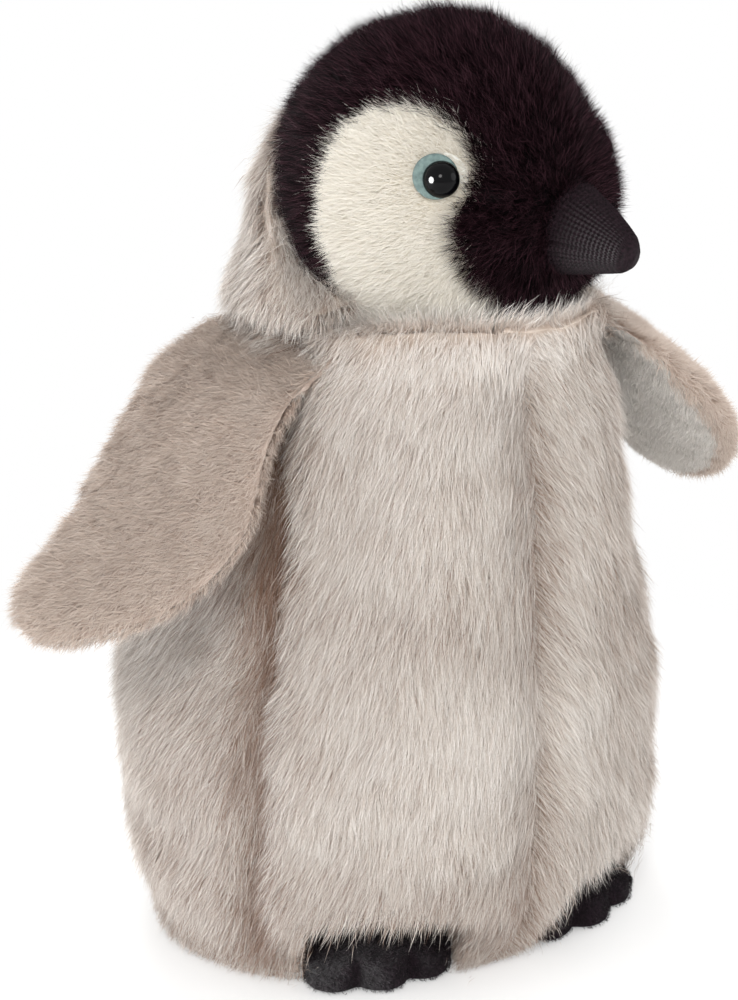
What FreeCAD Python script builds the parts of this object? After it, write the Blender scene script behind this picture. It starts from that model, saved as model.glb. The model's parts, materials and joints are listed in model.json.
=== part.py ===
import FreeCAD, Part
import math
import os

# Plush penguin chick, standing on a flat base, wings held out, head turned to its left.
# Millimetres. Origin: centre of the base, on the surface it stands on. +Z is up, the
# belly faces -Y and +X is the toy's own left. Soft pieces are drawn to the middle of
# their laid pile, so a panel's thickness is its cloth and its pile together.

V = FreeCAD.Vector
UP = V(0, 0, 1)
FRONT = V(0, -1, 0)
LEFT = V(1, 0, 0)
SIDES = (("left", 1), ("right", -1))

# ---- driving dimensions -------------------------------------------------------------
torso_height = 166.4         # standing surface to the neck crease, on the neck's axis
torso_half_width = 72.5      # at the widest level
torso_half_depth = 67.5
long_pile_panel = 5.0        # cloth and laid long pile of the torso, head and nape
base_panel_thickness = 3.0
side_seam_angle = 60.0       # side seam, round from the centre-front seam
slide_gap = 0.3              # between soft surfaces that move past each other

neck_forward = 29.5          # neck axis at the crease, in front of the base's centre
neck_tilt = 9.6              # neck opening leans this far back
head_rise = 28.0             # centre of the head above the crease, along the neck's axis
head_radius = 41.5
head_turn = 20.0             # the head is sewn on turned to the toy's left
hood_ring = 6.0              # the nape hood is a ring-shaped roll: offset of its arc,
hood_roll = 46.8             # radius of its arc
hood_drop = 11.5             # and drop of its arc's centre below the head's centre
hood_top = 20.0              # the hood's upper edge, above the head's centre
hood_crease = 7.5            # the roll turns in towards the crease over this height
hood_edge_radius = 40.0      # the hood's front edge is an arc seen from the side
hood_edge_forward = 9.0
hood_edge_rise = 11.0

cheek_azimuth = 73.0         # middle of the cheek patch, round from the beak
cheek_half_angle = 34.0
muzzle_drop = 12.0           # degrees below level, middle of the muzzle patch
muzzle_half_angle = 40.0

beak_drop = 5.0              # degrees below level
beak_length = 13.0           # beyond the pile of the muzzle
beak_root_radius = 11.5
beak_tip_radius = 3.4
beak_knit = 1.2              # thickness of the knitted fabric
beak_root_depth = 4.5        # sewn into the muzzle this deep

eye_azimuth = 54.5
eye_rise = 12.0
eye_radius = 4.1
eye_dome_height = 3.2
eye_felt_radius = 5.6
eye_felt_thickness = 1.0
eye_felt_sink = 3.9          # felt's back, below the tips of the pile
eye_stem_radius = 1.6
eye_stem_length = 11.0
washer_radius = 6.0
washer_thickness = 1.5
washer_sink = 7.2            # washer's back, below the tips of the pile
stem_clearance = 0.05

wing_length = 84.0
wing_half_chord = 24.5
wing_half_thickness = 6.2
wing_panel = 2.2             # short pile plush
wing_root_height = 159.5
wing_root_forward = 19.0
wing_root_gap = 2.2          # middle of the wing's root from the torso's widest line
# Each wing as it hangs at rest, in degrees: below level, towards the back, and its
# outer face turned to the front.
wing_drop = {"left": 47.0, "right": 38.5}
wing_sweep = {"left": 34.0, "right": 2.0}
wing_twist = {"left": -9.0, "right": 18.0}

foot_side = 25.5             # centre of a foot from the middle of the toy
foot_forward = 29.5
foot_splay = 15.0
foot_height = 12.5
foot_ground_gap = 0.3
foot_fabric = 1.6
foot_half_width = 18.5
foot_half_length = 19.5
toe_lift_angle = 12.0

pellet_bag_half_width = 42.0
pellet_bag_half_depth = 25.0
pellet_bag_height = 26.0
pellet_bag_back = 17.0       # the bag lies behind the feet
pellet_bag_cloth = 0.8

# Torso outline. Shares: height, half width, half depth, and how far back the
# section's centre lies, as a share of the half depth.
torso_profile = (
    (0.000, 0.83, 0.72, 0.02),
    (0.024, 0.91, 0.80, 0.02),
    (0.090, 0.97, 0.92, 0.01),
    (0.250, 1.00, 1.00, 0.00),
    (0.430, 0.95, 0.98, -0.03),
    (0.610, 0.86, 0.91, -0.09),
    (0.760, 0.78, 0.83, -0.15),
    (0.870, 0.70, 0.74, -0.20),
    (0.970, 0.60, 0.62, -0.29),
    (1.100, 0.46, 0.48, -0.42),
)
torso_below_base = (-0.050, 0.80, 0.69, 0.02)      # the lining runs past both ends
torso_above_crease = (1.200, 0.34, 0.38, -0.50)

# Wing outline. Shares: distance from the root, shift of the middle towards the front
# edge, half chord and half thickness, and the share of the twist reached there.
wing_profile = (
    (0.000, 0.00, 0.78, 0.26, 0.0),
    (0.120, 0.03, 0.86, 0.52, 0.2),
    (0.280, 0.14, 0.95, 0.90, 0.6),
    (0.480, 0.29, 1.00, 1.00, 1.0),
    (0.690, 0.42, 0.87, 0.90, 1.0),
    (0.860, 0.39, 0.67, 0.74, 1.0),
    (0.960, 0.32, 0.43, 0.53, 1.0),
    (1.000, 0.29, 0.22, 0.25, 1.0),
)


# ---- helpers ------------------------------------------------------------------------
def oriented(shape, origin, x_axis, y_axis, z_axis):
    """Place a shape drawn on the world axes onto the given ones."""
    matrix = FreeCAD.Matrix(
        x_axis.x, y_axis.x, z_axis.x, origin.x,
        x_axis.y, y_axis.y, z_axis.y, origin.y,
        x_axis.z, y_axis.z, z_axis.z, origin.z,
        0, 0, 0, 1)
    placed = shape.copy()
    placed.Placement = FreeCAD.Placement(matrix)
    return placed


def turned(shape, centre, axis, angle):
    copy = shape.copy()
    copy.rotate(centre, axis, angle)
    return copy


def turned_vector(vector, axis, angle):
    return FreeCAD.Rotation(axis, angle).multVec(vector)


def ellipsoid(centre, half_x, half_y, half_z):
    matrix = FreeCAD.Matrix()
    matrix.scale(half_x, half_y, half_z)
    matrix.move(centre)
    return Part.makeSphere(1.0).transformGeometry(matrix)


def elliptic_cylinder(centre, half_x, half_y, low, high):
    matrix = FreeCAD.Matrix()
    matrix.scale(half_x, half_y, 1.0)
    matrix.move(V(centre.x, centre.y, low))
    return Part.makeCylinder(1.0, high - low).transformGeometry(matrix)


def ellipse_wire(origin, x_axis, y_axis, half_x, half_y):
    matrix = FreeCAD.Matrix()
    matrix.scale(half_x, half_y, 1.0)
    flat = Part.Wire([Part.makeCircle(1.0)]).transformGeometry(matrix)
    return oriented(flat, origin, x_axis, y_axis, x_axis.cross(y_axis))


def oval_wire(centre, half_x, half_y):
    """Smooth closed curve through points of a level ellipse."""
    steps = 12
    points = [centre + V(half_x * math.cos(math.radians(360.0 * step / steps)),
                         half_y * math.sin(math.radians(360.0 * step / steps)), 0)
              for step in range(steps)]
    curve = Part.BSplineCurve()
    curve.interpolate(points, PeriodicFlag=True)
    return Part.Wire([curve.toShape()])


def half_ellipse_wire(origin, major_axis, minor_axis, half_major, half_minor):
    ellipse = Part.Ellipse(V(0, 0, 0), half_major, half_minor)
    arc = Part.ArcOfEllipse(ellipse, 0, math.pi).toShape()
    chord = Part.makeLine(V(-half_major, 0, 0), V(half_major, 0, 0))
    return oriented(Part.Wire([arc, chord]), origin, major_axis, minor_axis,
                    major_axis.cross(minor_axis))


def slab(origin, normal, depth=400.0):
    """A block that fills one side of a plane, the side its normal points to."""
    across = normal.cross(LEFT if abs(normal.x) < 0.9 else UP).normalize()
    box = Part.makeBox(depth, depth, depth, V(-depth / 2, -depth / 2, 0))
    return oriented(box, origin, across, normal.cross(across), normal)


def cut_all(shape, tools):
    for tool in tools:
        shape = shape.cut(tool)
    return shape


def piece(shape):
    """The one solid of a node, or its largest where a cut left a crumb."""
    return max(shape.Solids, key=lambda solid: solid.Volume)


# ---- frames -------------------------------------------------------------------------
neck_axis = turned_vector(UP, LEFT, -neck_tilt)
crease_centre = V(0, -neck_forward, torso_height)
head_centre = crease_centre + neck_axis * head_rise


def head_turned(shape):
    return turned(shape, head_centre, neck_axis, head_turn)


def head_direction(azimuth, rise):
    """Unit vector from the head's centre; azimuth 0 is the beak, positive to its left."""
    level = turned_vector(FRONT, UP, azimuth)
    return level * math.cos(math.radians(rise)) + UP * math.sin(math.radians(rise))


# ---- torso --------------------------------------------------------------------------
def torso_solid(profile, grow):
    wires = []
    for height, width, depth, back in profile:
        centre = V(0, back * torso_half_depth, height * torso_height)
        wires.append(oval_wire(centre, width * torso_half_width + grow,
                               depth * torso_half_depth + grow))
    return Part.makeLoft(wires, True, False)


def seam_wedge(sign):
    """The front sector between the centre-front seam and one side seam."""
    reach = 300.0
    angle = math.radians(side_seam_angle)
    corners = [V(0, 0, -1), V(0, -reach, -1), V(sign * reach, -reach, -1),
               V(sign * reach * math.sin(angle), -reach * math.cos(angle), -1), V(0, 0, -1)]
    return Part.Face(Part.makePolygon(corners)).extrude(UP * reach)


def make_torso(foot_pockets):
    above_crease = slab(crease_centre, neck_axis)
    head_dish = Part.makeSphere(head_radius + slide_gap, head_centre)
    base_layer = Part.makeBox(400, 400, base_panel_thickness, V(-200, -200, 0))
    below_base = slab(UP * base_panel_thickness, -UP)
    outer = torso_solid(torso_profile, 0.0).cut(above_crease)
    lining_profile = (torso_below_base,) + torso_profile[1:] + (torso_above_crease,)
    lining = torso_solid(lining_profile, -long_pile_panel)

    hollows = [head_dish, below_base] + foot_pockets
    shell = cut_all(outer, hollows + [lining])
    nodes = {"base_panel": cut_all(outer.common(base_layer), foot_pockets)}
    for name, sign in SIDES:
        wedge = seam_wedge(sign)
        half = shell.cut(slab(V(0, 0, 0), LEFT * -sign))
        nodes["front_panel_" + name] = half.common(wedge)
        nodes["back_panel_" + name] = half.cut(wedge)

    bag_centre = V(0, pellet_bag_back, base_panel_thickness)
    bag = ellipsoid(bag_centre, pellet_bag_half_width, pellet_bag_half_depth,
                    pellet_bag_height).cut(slab(bag_centre, -UP))
    pellets = ellipsoid(bag_centre, pellet_bag_half_width - pellet_bag_cloth,
                        pellet_bag_half_depth - pellet_bag_cloth,
                        pellet_bag_height - pellet_bag_cloth)
    pellets = pellets.cut(slab(bag_centre + UP * pellet_bag_cloth, -UP))
    nodes["pellet_bag"] = bag.cut(pellets)
    nodes["pellets"] = pellets
    nodes["torso_filling"] = cut_all(lining, [above_crease] + hollows + [bag])
    return nodes


# ---- nape hood and neck -------------------------------------------------------------
def hood_blank(shrink):
    """Ring-shaped roll round the neck's axis, from the crease to the top of the head."""
    roll = hood_roll - shrink
    arc_centre = V(hood_ring, 0, -hood_drop)
    top = arc_centre + V(0, 0, roll)
    side_angle = math.asin((head_rise - hood_drop - hood_crease) / roll)
    side = arc_centre + V(roll * math.cos(side_angle), 0, -roll * math.sin(side_angle))
    low = side - V(hood_crease + 1.0, 0, hood_crease)
    middle_angle = (math.pi / 2 - side_angle) / 2
    middle = arc_centre + V(roll * math.cos(middle_angle), 0, roll * math.sin(middle_angle))
    edges = [Part.makeLine(low, side),
             Part.Arc(side, middle, top).toShape(),
             Part.makeLine(top, V(0, 0, top.z)),
             Part.makeLine(V(0, 0, top.z), V(0, 0, low.z)),
             Part.makeLine(V(0, 0, low.z), low)]
    ring = Part.Face(Part.Wire(edges)).revolve(V(0, 0, 0), UP, 360)
    ring.rotate(V(0, 0, 0), LEFT, -neck_tilt)
    ring.translate(head_centre)
    return ring


def make_neck():
    face_centre = head_centre + FRONT * hood_edge_forward + UP * hood_edge_rise
    face_side = Part.makeCylinder(hood_edge_radius, 300.0, face_centre - LEFT * 150, LEFT)
    openings = [slab(crease_centre + neck_axis * slide_gap, -neck_axis),
                Part.makeSphere(head_radius + slide_gap, head_centre),
                slab(face_centre, FRONT), face_side,
                slab(head_centre + neck_axis * hood_top, neck_axis)]
    lining = hood_blank(long_pile_panel)
    hood = cut_all(hood_blank(0.0), openings + [lining])
    nodes = {"neck_filling": head_turned(cut_all(lining, openings))}
    for name, sign in SIDES:
        half = hood.cut(slab(head_centre, LEFT * -sign))
        nodes["nape_panel_" + name] = head_turned(half)
    return nodes


# ---- head ---------------------------------------------------------------------------
def ball(radius):
    """Sphere about the head's centre, its own seam line at the back."""
    return turned(Part.makeSphere(radius, head_centre), head_centre, UP, 90.0)


def patch_block(azimuth, rise, half_angle):
    """Block whose face cuts one round patch out of the head's skin."""
    axis = head_direction(azimuth, rise)
    depth = head_radius * math.cos(math.radians(half_angle))
    return slab(head_centre + axis * depth, axis)


def beak_solid(shrink):
    """Round tapering beak on its own axis, with a domed tip."""
    axis = head_direction(0, -beak_drop)
    root = head_radius - beak_root_depth
    tip = head_radius + beak_length - shrink
    root_radius = beak_root_radius - shrink
    tip_radius = beak_tip_radius - shrink
    shoulder = tip - 0.55 * tip_radius
    middle = V(0.55 * root_radius + 0.45 * tip_radius + 1.2, 0, 0.5 * (root + shoulder))
    edges = [Part.makeLine(V(0, 0, root), V(root_radius, 0, root)),
             Part.Arc(V(root_radius, 0, root), middle, V(tip_radius, 0, shoulder)).toShape(),
             Part.Arc(V(tip_radius, 0, shoulder),
                      V(0.75 * tip_radius, 0, tip - 0.15 * tip_radius),
                      V(0.3 * tip_radius, 0, tip)).toShape(),
             Part.makeLine(V(0.3 * tip_radius, 0, tip), V(0, 0, tip)),
             Part.makeLine(V(0, 0, tip), V(0, 0, root))]
    solid = Part.Face(Part.Wire(edges)).revolve(V(0, 0, 0), UP, 360)
    return oriented(solid, head_centre, LEFT, axis.cross(LEFT), axis)


def make_beak():
    blank = beak_solid(0.0)
    core = beak_solid(beak_knit)
    knit = blank.cut(core)
    below = slab(head_centre, LEFT.cross(head_direction(0, -beak_drop)))
    nodes = {"beak_upper": knit.cut(below), "beak_lower": knit.common(below),
             "beak_filling": core}
    return nodes, blank


def make_eye(name, sign):
    """Safety eye: a dome on a stem, through a felt disc and the cheek, with a washer."""
    axis = head_direction(sign * eye_azimuth, eye_rise)
    felt_back = head_centre + axis * (head_radius - eye_felt_sink)
    dome_back = felt_back + axis * eye_felt_thickness
    washer_back = head_centre + axis * (head_radius - washer_sink)
    bulge = (eye_radius ** 2 + eye_dome_height ** 2) / (2 * eye_dome_height)
    dome = Part.makeSphere(bulge, dome_back + axis * (eye_dome_height - bulge))
    dome = dome.cut(slab(dome_back, -axis))
    stem = Part.makeCylinder(eye_stem_radius, eye_stem_length, dome_back, -axis)
    stem_hole = Part.makeCylinder(eye_stem_radius + stem_clearance,
                                  eye_stem_length + stem_clearance, dome_back, -axis)
    felt = Part.makeCylinder(eye_felt_radius, eye_felt_thickness, felt_back, axis)
    washer = Part.makeCylinder(washer_radius, washer_thickness, washer_back, axis)
    felt_seat = Part.makeCylinder(eye_felt_radius + stem_clearance, head_radius,
                                  felt_back, axis)
    washer_seat = Part.makeCylinder(washer_radius + stem_clearance,
                                    washer_thickness, washer_back, axis)
    nodes = {"eye_" + name: dome.fuse(stem).removeSplitter(),
             "eye_felt_" + name: felt.cut(stem_hole),
             "eye_washer_" + name: washer.cut(stem_hole)}
    return nodes, [stem_hole, felt_seat, washer_seat]


def make_head():
    outer = ball(head_radius)
    stuffing = ball(head_radius - long_pile_panel)
    skin = outer.cut(stuffing)
    nodes, beak = make_beak()
    muzzle_block = patch_block(0, -muzzle_drop, muzzle_half_angle)
    muzzle = skin.common(muzzle_block).cut(beak)
    crown = skin.cut(muzzle_block)
    for name, sign in SIDES:
        cheek_block = patch_block(sign * cheek_azimuth, 0, cheek_half_angle)
        eye_nodes, eye_seats = make_eye(name, sign)
        nodes.update(eye_nodes)
        nodes["cheek_panel_" + name] = cut_all(skin.common(cheek_block), eye_seats)
        muzzle = muzzle.cut(cheek_block)
        crown = cut_all(crown, [cheek_block] + eye_seats)
        stuffing = cut_all(stuffing, eye_seats)
    nodes["muzzle_panel"] = muzzle
    nodes["crown_panel"] = crown
    nodes["head_filling"] = stuffing.cut(beak)
    return {name: head_turned(shape) for name, shape in nodes.items()}


# ---- wings --------------------------------------------------------------------------
def torso_half_width_at(height):
    for lower, upper in zip(torso_profile, torso_profile[1:]):
        low, high = lower[0] * torso_height, upper[0] * torso_height
        if low <= height <= high:
            share = (height - low) / (high - low)
            return torso_half_width * (lower[1] + share * (upper[1] - lower[1]))
    return torso_half_width * torso_profile[-1][1]


def wing_frame(name, sign):
    """Root point, direction to the tip, direction of the front edge, outer face normal."""
    root = V(sign * (torso_half_width_at(wing_root_height) + wing_root_gap),
             -wing_root_forward, wing_root_height)
    drop = math.radians(wing_drop[name])
    sweep = math.radians(wing_sweep[name])
    along = V(sign * math.cos(drop) * math.cos(sweep), math.cos(drop) * math.sin(sweep),
              -math.sin(drop))
    chord = (FRONT - along * FRONT.dot(along)).normalize()
    normal = along.cross(chord) * -sign
    return root, along, chord, normal


def wing_stations(name, sign):
    """Cross-sections from root to tip: centre, two axes, half chord, half thickness."""
    root, along, chord, normal = wing_frame(name, sign)
    stations = []
    for distance, shift, half_chord, half_thickness, twist in wing_profile:
        angle = wing_twist[name] * twist * sign
        front_edge = turned_vector(chord, along, angle)
        outward = turned_vector(normal, along, angle)
        centre = (root + along * (distance * wing_length)
                  + front_edge * (shift * wing_half_chord))
        stations.append((centre, front_edge * sign, outward,
                         half_chord * wing_half_chord,
                         half_thickness * wing_half_thickness))
    return stations


def make_wing(name, sign):
    stations = wing_stations(name, sign)
    core = [ellipse_wire(centre, edge, outward, half_chord - wing_panel,
                         half_thickness - wing_panel)
            for centre, edge, outward, half_chord, half_thickness in stations[1:-1]]
    filling = Part.makeLoft(core, True, False)
    outer_face = [half_ellipse_wire(*station) for station in stations]
    inner_face = [half_ellipse_wire(centre, -edge, -outward, half_chord, half_thickness)
                  for centre, edge, outward, half_chord, half_thickness in stations]
    return {"wing_filling_" + name: filling,
            "wing_outer_" + name: Part.makeLoft(outer_face, True, False).cut(filling),
            "wing_inner_" + name: Part.makeLoft(inner_face, True, False).cut(filling)}


# ---- feet ---------------------------------------------------------------------------
def foot_solid(inset, low):
    """Round heel and three round toes under one shallow dome, in the foot's own place."""
    toe_radius = 0.40 * foot_half_width
    pitch = foot_half_width - toe_radius
    reach = foot_half_length - toe_radius
    lobes = [(V(0, 0.12 * foot_half_length, 0), 0.80 * foot_half_width)]
    for step, forward in ((-1, 0.80), (0, 1.00), (1, 0.80)):
        lobes.append((V(step * pitch, -forward * reach, 0), toe_radius))
        lobes.append((V(step * pitch * 0.7, -0.4 * forward * reach, 0), toe_radius))
    body = None
    for centre, radius in lobes:
        lobe = Part.makeCylinder(radius - inset, foot_height, centre + UP * low)
        body = lobe if body is None else body.fuse(lobe)
    dome_radius = 1.9 * foot_half_length
    dome = Part.makeSphere(dome_radius - inset, UP * (foot_height - dome_radius))
    return body.common(dome)


def foot_placed(shape, sign):
    copy = shape.copy()
    copy.rotate(V(0, 0, 0), UP, sign * foot_splay)
    copy.translate(V(sign * foot_side, -foot_forward, 0))
    return copy


def foot_pocket(sign):
    """Room for one foot under the torso, with a roof that slopes up for a lifted foot."""
    half_width = foot_half_width + foot_fabric
    heel = elliptic_cylinder(V(0, 0, 0), half_width, foot_half_length + foot_fabric,
                             -1.0, 3 * foot_height)
    toes = Part.makeBox(2 * half_width, 3 * foot_half_length, 3 * foot_height + 1.0,
                        V(-half_width, -3 * foot_half_length, -1.0))
    pocket = heel.fuse(toes)
    hinge = V(0, 0.9 * foot_half_length, foot_height + slide_gap)
    roof = slab(hinge, turned_vector(UP, LEFT, -toe_lift_angle))
    return foot_placed(pocket.cut(roof), sign)


def make_foot(name, sign):
    blank = foot_solid(0.0, foot_ground_gap)
    core = foot_solid(foot_fabric, foot_ground_gap + foot_fabric)
    fabric = blank.cut(core)
    above_sole = slab(UP * (foot_ground_gap + foot_fabric), UP)
    nodes = {"foot_top_" + name: fabric.common(above_sole),
             "foot_sole_" + name: fabric.cut(above_sole),
             "foot_filling_" + name: core}
    return {node: foot_placed(shape, sign) for node, shape in nodes.items()}


# ---- assembly -----------------------------------------------------------------------
def build():
    foot_pockets, nodes = [], {}
    for name, sign in SIDES:
        foot_pockets.append(foot_pocket(sign))
        nodes.update(make_wing(name, sign))
        nodes.update(make_foot(name, sign))
    nodes.update(make_torso(foot_pockets))
    nodes.update(make_neck())
    nodes.update(make_head())
    return nodes


os.makedirs("parts", exist_ok=True)
for node, shape in sorted(build().items()):
    count = len(shape.Solids)
    solid = piece(shape)
    solid.exportStep("parts/" + node + ".step")
    box = solid.BoundBox
    print(f"{node:22s} solids {count} valid {solid.isValid()} volume {solid.Volume:9.0f} "
          f"x {box.XMin:6.1f} {box.XMax:6.1f} y {box.YMin:6.1f} {box.YMax:6.1f} "
          f"z {box.ZMin:6.1f} {box.ZMax:6.1f}")
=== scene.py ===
import json
import math

import bmesh
import bpy
import numpy as np
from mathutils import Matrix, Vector


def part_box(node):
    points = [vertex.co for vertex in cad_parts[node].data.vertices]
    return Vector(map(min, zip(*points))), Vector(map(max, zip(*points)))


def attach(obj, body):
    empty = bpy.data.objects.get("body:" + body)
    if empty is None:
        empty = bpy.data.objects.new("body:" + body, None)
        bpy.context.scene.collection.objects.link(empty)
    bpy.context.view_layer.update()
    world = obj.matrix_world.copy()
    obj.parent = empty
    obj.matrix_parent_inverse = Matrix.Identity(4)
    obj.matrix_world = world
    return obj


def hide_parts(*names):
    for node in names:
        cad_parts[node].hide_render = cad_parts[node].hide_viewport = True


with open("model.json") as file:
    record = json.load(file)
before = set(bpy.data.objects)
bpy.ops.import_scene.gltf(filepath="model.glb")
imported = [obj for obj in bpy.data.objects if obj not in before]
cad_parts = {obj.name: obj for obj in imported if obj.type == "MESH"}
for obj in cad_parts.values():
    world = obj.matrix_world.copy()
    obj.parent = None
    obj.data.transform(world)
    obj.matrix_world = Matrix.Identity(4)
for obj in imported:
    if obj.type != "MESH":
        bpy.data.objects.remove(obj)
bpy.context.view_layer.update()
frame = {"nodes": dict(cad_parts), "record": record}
record = frame["record"]
JOINTS = {joint["name"]: joint for joint in record["behaviour"]["joints"]}

MM = 0.001
HEAD = np.array(JOINTS["head_turn"]["pos_m"], float)    # centre of the head's ball
NECK_AXIS = np.array(JOINTS["head_turn"]["axis"], float)
NECK_AXIS /= np.linalg.norm(NECK_AXIS)
HEAD_TURN = 20.0                    # degrees; the head is sewn on turned to the toy's left
SHARE = 1.0
MOST_STRANDS = 98000                # in one piece


# ---- numbers and fields --------------------------------------------------------------
def unit(v):
    v = np.asarray(v, float)
    return v / np.maximum(np.linalg.norm(v, axis=-1, keepdims=True), 1e-12)


def smooth_noise(p, size, seed):
    """Smooth random field between about -1 and 1, from waves in random directions."""
    rng = np.random.default_rng(seed)
    waves = rng.normal(size=(7, 3))
    waves = waves / np.linalg.norm(waves, axis=1, keepdims=True)
    waves *= rng.uniform(0.6, 1.4, size=(7, 1)) * 2 * math.pi / size
    phase = rng.uniform(0, 2 * math.pi, size=7)
    return np.sin(p @ waves.T + phase).sum(1) / 3.5


def bell(x, width):
    """1 at x = 0, falling to about a third at one width away."""
    return np.exp(-(x / width) ** 2)


def step(x, low, high):
    """0 up to low, 1 from high on, smooth between."""
    t = np.clip((x - low) / (high - low), 0, 1)
    return t * t * (3 - 2 * t)


def rotate(v, axis, degrees):
    t = math.radians(degrees)
    v = np.asarray(v, float)
    return (v * math.cos(t) + np.cross(axis, v) * math.sin(t)
            + axis * (v @ axis)[..., None] * (1 - math.cos(t)))


def head_angles(p):
    """Azimuth from the beak (positive to the toy's left) and rise, in degrees."""
    d = unit(rotate(p - HEAD, NECK_AXIS, -HEAD_TURN))
    return (np.degrees(np.arctan2(d[:, 0], -d[:, 1])),
            np.degrees(np.arcsin(np.clip(d[:, 2], -1, 1))))


def head_direction(azimuth, rise):
    a, r = math.radians(azimuth), math.radians(rise)
    d = np.array([[math.sin(a) * math.cos(r), -math.cos(a) * math.cos(r), math.sin(r)]])
    return rotate(d, NECK_AXIS, HEAD_TURN)[0]


# ---- meshes --------------------------------------------------------------------------
def new_object(name, verts, faces, smooth=True):
    mesh = bpy.data.meshes.new(name)
    mesh.from_pydata([tuple(v) for v in verts], [], [tuple(f) for f in faces])
    mesh.update()
    if smooth:
        mesh.shade_smooth()
    obj = bpy.data.objects.new(name, mesh)
    bpy.context.scene.collection.objects.link(obj)
    return obj


def node_arrays(nodes):
    """Vertices and triangles of CAD nodes taken together."""
    verts, tris, start = [], [], 0
    for node in nodes:
        mesh = frame["nodes"][node].data
        mesh.calc_loop_triangles()
        co = np.empty(len(mesh.vertices) * 3)
        mesh.vertices.foreach_get("co", co)
        tri = np.empty(len(mesh.loop_triangles) * 3, int)
        mesh.loop_triangles.foreach_get("vertices", tri)
        verts.append(co.reshape(-1, 3))
        tris.append(tri.reshape(-1, 3) + start)
        start += len(mesh.vertices)
    return np.vstack(verts), np.vstack(tris)


def remeshed(name, nodes, voxel):
    """One closed even mesh round CAD nodes, keeping only its outermost shell."""
    verts, tris = node_arrays(nodes)
    obj = new_object(name, verts, tris)
    modifier = obj.modifiers.new("voxels", "REMESH")
    modifier.mode = "VOXEL"
    modifier.voxel_size = voxel * MM
    made = bpy.data.meshes.new_from_object(
        obj.evaluated_get(bpy.context.evaluated_depsgraph_get()))
    obj.modifiers.clear()
    old = obj.data
    obj.data = made
    bpy.data.meshes.remove(old)
    work = bmesh.new()
    work.from_mesh(made)
    loose = set(work.verts)
    shells = []
    while loose:
        stack, shell = [loose.pop()], []
        while stack:
            vert = stack.pop()
            shell.append(vert)
            for edge in vert.link_edges:
                other = edge.other_vert(vert)
                if other in loose:
                    loose.discard(other)
                    stack.append(other)
        shells.append(shell)
    shells.sort(key=len)
    inner = [vert for shell in shells[:-1] for vert in shell]
    bmesh.ops.delete(work, geom=inner, context="VERTS")
    bmesh.ops.triangulate(work, faces=work.faces)
    work.to_mesh(made)
    work.free()
    made.shade_smooth()
    return obj


def positions(obj):
    co = np.empty(len(obj.data.vertices) * 3)
    obj.data.vertices.foreach_get("co", co)
    return co.reshape(-1, 3)


def set_positions(obj, co):
    obj.data.vertices.foreach_set("co", np.ascontiguousarray(co, float).ravel())
    obj.data.update()


def normals(obj):
    n = np.empty(len(obj.data.vertices) * 3)
    obj.data.vertex_normals.foreach_get("vector", n)
    return n.reshape(-1, 3)


def edges(obj):
    e = np.empty(len(obj.data.edges) * 2, int)
    obj.data.edges.foreach_get("vertices", e)
    return e.reshape(-1, 2)


def relax(obj, rounds):
    """Smooths a mesh; every second round pushes back out so that it doesn't shrink."""
    e, co = edges(obj), positions(obj)
    count = np.bincount(e.ravel(), minlength=len(co))[:, None]
    for round_ in range(rounds):
        total = np.zeros_like(co)
        for axis in range(3):
            total[:, axis] = (np.bincount(e[:, 0], co[e[:, 1], axis], len(co))
                              + np.bincount(e[:, 1], co[e[:, 0], axis], len(co)))
        pull = total / np.maximum(count, 1) - co
        co = co + pull * (0.5 if round_ % 2 == 0 else -0.53)
    set_positions(obj, co)


def push(obj, amount):
    """Moves each point along its normal by amount (mm, one value or one per point)."""
    out = (np.asarray(amount) * MM).reshape(-1, 1)
    set_positions(obj, positions(obj) + normals(obj) * out)


def two_materials(obj, first, second, is_second):
    """The second material covers the faces marked in is_second, the first the rest."""
    obj.data.materials.append(first)
    obj.data.materials.append(second)
    obj.data.polygons.foreach_set("material_index", is_second.astype(np.int32))
    obj.data.update()


# ---- materials -----------------------------------------------------------------------
def srgb(*values):
    return [v / 12.92 if v <= 0.04045 else ((v + 0.055) / 1.055) ** 2.4
            for v in (x / 255 for x in values)] + [1.0]


def new_material(name):
    material = bpy.data.materials.new(name)
    material.use_nodes = True
    tree = material.node_tree
    return material, tree, tree.nodes["Principled BSDF"]


def ramp(tree, stops, factor):
    node = tree.nodes.new("ShaderNodeValToRGB")
    node.color_ramp.elements[0].position = stops[0][0]
    node.color_ramp.elements[0].color = stops[0][1]
    node.color_ramp.elements[1].position = stops[-1][0]
    node.color_ramp.elements[1].color = stops[-1][1]
    for position, colour in stops[1:-1]:
        node.color_ramp.elements.new(position).color = colour
    tree.links.new(factor, node.inputs["Fac"])
    return node.outputs["Color"]


def pile_material(name, dark, middle, light, root, roughness=0.75, sheen=0.15,
                  shine=0.12):
    """Strand colour from its own map: across is the strand's tone, up is root to tip,
    darkened towards the root by painted shade.
    """
    material, tree, shader = new_material(name)
    uv = tree.nodes.new("ShaderNodeUVMap")
    uv.uv_map = "OFBake"
    split = tree.nodes.new("ShaderNodeSeparateXYZ")
    tree.links.new(uv.outputs["UV"], split.inputs["Vector"])
    tone = ramp(tree, [(0.0, dark), (0.5, middle), (1.0, light)], split.outputs["X"])
    # Painted shade: the root colour darkens each strand towards its root, fading out three
    # quarters of the way up.
    root_shade = ramp(tree, [(0.0, root), (0.75, [1, 1, 1, 1])], split.outputs["Y"])
    mix = tree.nodes.new("ShaderNodeMix")
    mix.data_type = "RGBA"
    mix.blend_type = "MULTIPLY"
    mix.inputs["Factor"].default_value = 1.0
    tree.links.new(tone, mix.inputs[6])
    tree.links.new(root_shade, mix.inputs[7])
    tree.links.new(mix.outputs[2], shader.inputs["Base Color"])
    shader.inputs["Roughness"].default_value = roughness
    shader.inputs["Sheen Weight"].default_value = sheen
    shader.inputs["Specular IOR Level"].default_value = shine
    return material


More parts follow.
